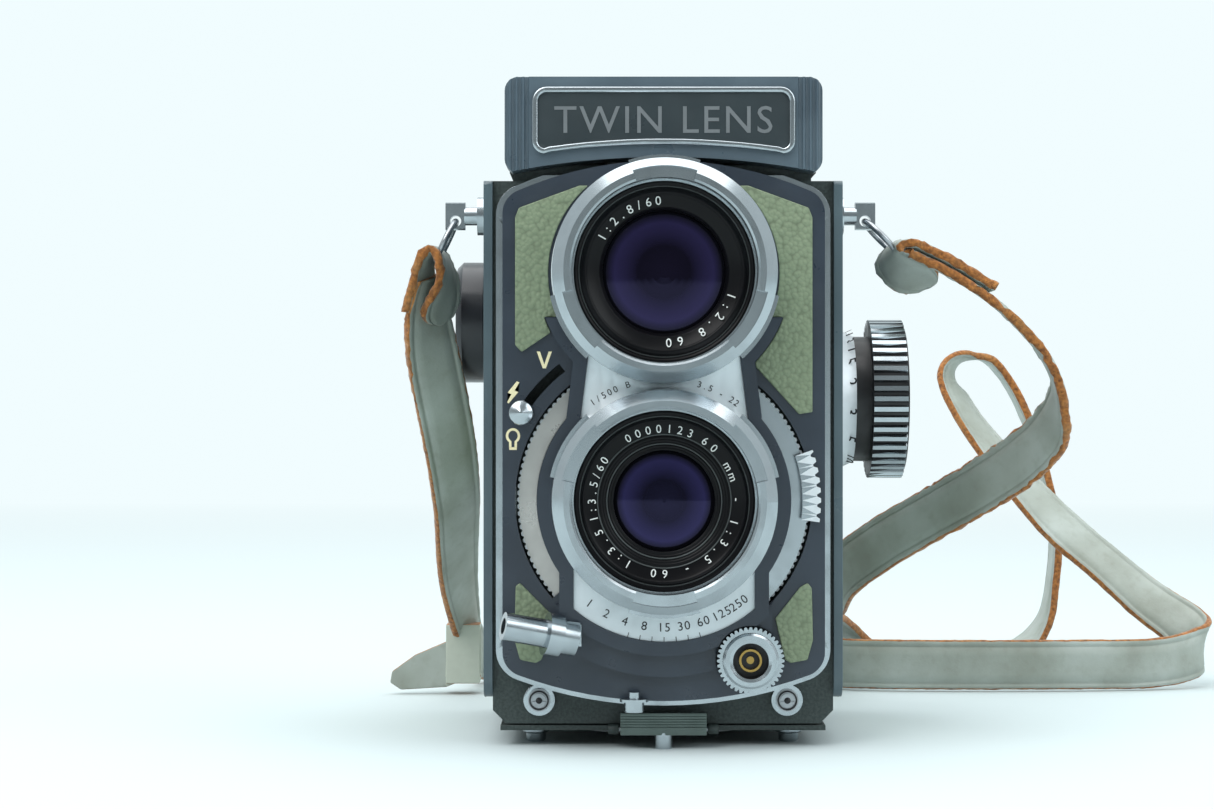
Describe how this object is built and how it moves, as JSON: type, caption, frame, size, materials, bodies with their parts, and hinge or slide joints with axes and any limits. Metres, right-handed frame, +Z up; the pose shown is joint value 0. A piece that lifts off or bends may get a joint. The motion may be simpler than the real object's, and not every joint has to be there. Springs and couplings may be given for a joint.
{
  "type": "twin lens reflex camera",
  "caption": "Twin lens reflex camera with a folding finder hood, a moving lens board, side knobs, a hinged back and a leather neck strap.",
  "frame": {"origin": "on the tripod socket's axis, in the plane that the feet stand on", "axes": "+X to the right as seen from the front, -Y the way the lenses look, +Z up"},
  "size_m": [0.1846, 0.1865, 0.1248],
  "materials": {
    "body_paint": "satin leather-grained paint",
    "blue_grey_paint": "semi-gloss enamel",
    "satin_chrome": "satin chrome",
    "steel": "brushed",
    "black_metal": "matte black paint",
    "dial_white": "bead blasted",
    "spool_plastic": "moulded",
    "coated_glass": "violet coated, polished",
    "ground_glass": "ground",
    "silvered_mirror": "front silvered",
    "sage_leather": "pebble grain",
    "strap_leather": "worn, smooth face and raw brown edge"
  },
  "bodies": {
    "root": {"body_shell": "body_paint", "side_cover_left": "blue_grey_paint", "side_cover_right": "blue_grey_paint", "front_trim": "satin_chrome", "trim_screws": "steel", "mirror_box": "black_metal", "reflex_mirror": "silvered_mirror", "focusing_screen": "ground_glass", "film_gate": "black_metal", "hood_base": "body_paint", "hood_front": "blue_grey_paint", "name_frame": "satin_chrome", "name_panel": "black_metal", "hood_pins": "steel", "door_pin": "steel", "strap_lugs": "satin_chrome", "lug_rings": "steel", "strap": "strap_leather", "strap_keeper": "strap_leather"},
    "lens_board": {"front_plate": "blue_grey_paint", "leather_panels": "sage_leather", "face_plate": "satin_chrome", "guide_rods": "steel", "viewing_bezel": "satin_chrome", "viewing_name_ring": "black_metal", "viewing_lens": "coated_glass", "taking_bezel": "satin_chrome", "taking_name_ring": "black_metal", "taking_lens": "coated_glass", "shutter_housing": "black_metal", "shutter_blades": "black_metal", "release_base": "satin_chrome", "flash_socket": "satin_chrome", "front_stud": "satin_chrome"},
    "aperture": {"aperture_ring": "satin_chrome"},
    "speed": {"speed_ring": "satin_chrome"},
    "sync": {"sync_lever": "satin_chrome"},
    "release": {"release_button": "satin_chrome"},
    "flash_lock": {"flash_lock_ring": "satin_chrome"},
    "wind": {"wind_knob": "blue_grey_paint", "take_up_spool": "spool_plastic"},
    "supply": {"supply_spool": "spool_plastic"},
    "roller_top": {"roller_top": "steel"},
    "roller_bottom": {"roller_bottom": "steel"},
    "focus": {"focus_knob": "black_metal", "focus_dial": "dial_white"},
    "lid": {"hood_lid": "blue_grey_paint", "magnifier_pin": "steel"},
    "magnifier": {"magnifier_frame": "black_metal", "magnifier_lens": "ground_glass"},
    "flap_left": {"hood_flap_left": "black_metal"},
    "flap_right": {"hood_flap_right": "black_metal"},
    "flap_back": {"hood_flap_back": "black_metal"},
    "door": {"back_door": "body_paint", "pressure_plate": "black_metal", "tripod_plate": "steel", "feet": "steel", "latch_pin": "steel"},
    "latch": {"door_latch": "body_paint"}
  },
  "joints": [
    {"name": "focus_slide", "type": "slide", "parent": "root", "child": "lens_board", "axis": [0, -1, 0], "range_m": [0, 0.0043]},
    {"name": "focus_turn", "type": "hinge", "parent": "root", "child": "focus", "pos_m": [0.04, -0.003, 0.0651], "axis": [1, 0, 0], "range_deg": [0, 300]},
    {"name": "wind_turn", "type": "hinge", "parent": "root", "child": "wind", "pos_m": [-0.038, 0.018, 0.0808], "axis": [1, 0, 0], "continuous": true},
    {"name": "supply_turn", "type": "hinge", "parent": "root", "child": "supply", "pos_m": [0, 0.013, 0.0165], "axis": [1, 0, 0], "continuous": true},
    {"name": "roller_top_turn", "type": "hinge", "parent": "root", "child": "roller_top", "pos_m": [0, 0.027, 0.07], "axis": [1, 0, 0], "continuous": true},
    {"name": "roller_bottom_turn", "type": "hinge", "parent": "root", "child": "roller_bottom", "pos_m": [0, 0.027, 0.023], "axis": [1, 0, 0], "continuous": true},
    {"name": "aperture_turn", "type": "hinge", "parent": "lens_board", "child": "aperture", "pos_m": [0, -0.0365, 0.0463], "axis": [0, -1, 0], "range_deg": [-12, 12]},
    {"name": "speed_turn", "type": "hinge", "parent": "lens_board", "child": "speed", "pos_m": [0, -0.0365, 0.0463], "axis": [0, -1, 0], "range_deg": [-28, 28]},
    {"name": "sync_turn", "type": "hinge", "parent": "lens_board", "child": "sync", "pos_m": [0, -0.0365, 0.0463], "axis": [0, -1, 0], "range_deg": [-19.5, 0]},
    {"name": "release_push", "type": "slide", "parent": "lens_board", "child": "release", "axis": [0.9482, 0.2541, -0.1908], "range_m": [0, 0.0025], "stiffness_N_per_m": 200},
    {"name": "flash_lock_turn", "type": "hinge", "parent": "lens_board", "child": "flash_lock", "pos_m": [0.0159, -0.043, 0.0169], "axis": [0, -1, 0], "range_deg": [0, 60]},
    {"name": "lid_hinge", "type": "hinge", "parent": "root", "child": "lid", "pos_m": [0, -0.0298, 0.124], "axis": [1, 0, 0], "range_deg": [0, 90]},
    {"name": "magnifier_hinge", "type": "hinge", "parent": "lid", "child": "magnifier", "pos_m": [0, 0.0162, 0.1198], "axis": [1, 0, 0], "range_deg": [0, 90]},
    {"name": "flap_left_hinge", "type": "hinge", "parent": "root", "child": "flap_left", "pos_m": [-0.0268, 0, 0.1105], "axis": [0, -1, 0], "range_deg": [0, 90]},
    {"name": "flap_right_hinge", "type": "hinge", "parent": "root", "child": "flap_right", "pos_m": [0.0268, 0, 0.1105], "axis": [0, 1, 0], "range_deg": [0, 90]},
    {"name": "flap_back_hinge", "type": "hinge", "parent": "root", "child": "flap_back", "pos_m": [0, 0.024, 0.113], "axis": [-1, 0, 0], "range_deg": [0, 90]},
    {"name": "door_hinge", "type": "hinge", "parent": "root", "child": "door", "pos_m": [0, 0.0317, 0.1046], "axis": [1, 0, 0], "range_deg": [0, 100]},
    {"name": "latch_hinge", "type": "hinge", "parent": "door", "child": "latch", "pos_m": [0, -0.0354, 0.0034], "axis": [1, 0, 0], "range_deg": [0, 60]}
  ],
  "couplings": [
    {"joint": "focus_turn", "follows": "focus_slide", "rad_per_m": 1217},
    {"joint": "magnifier_hinge", "follows": "lid_hinge", "ratio": 1},
    {"joint": "flap_left_hinge", "follows": "lid_hinge", "ratio": 1},
    {"joint": "flap_right_hinge", "follows": "lid_hinge", "ratio": 1},
    {"joint": "flap_back_hinge", "follows": "lid_hinge", "ratio": 1}
  ]
}
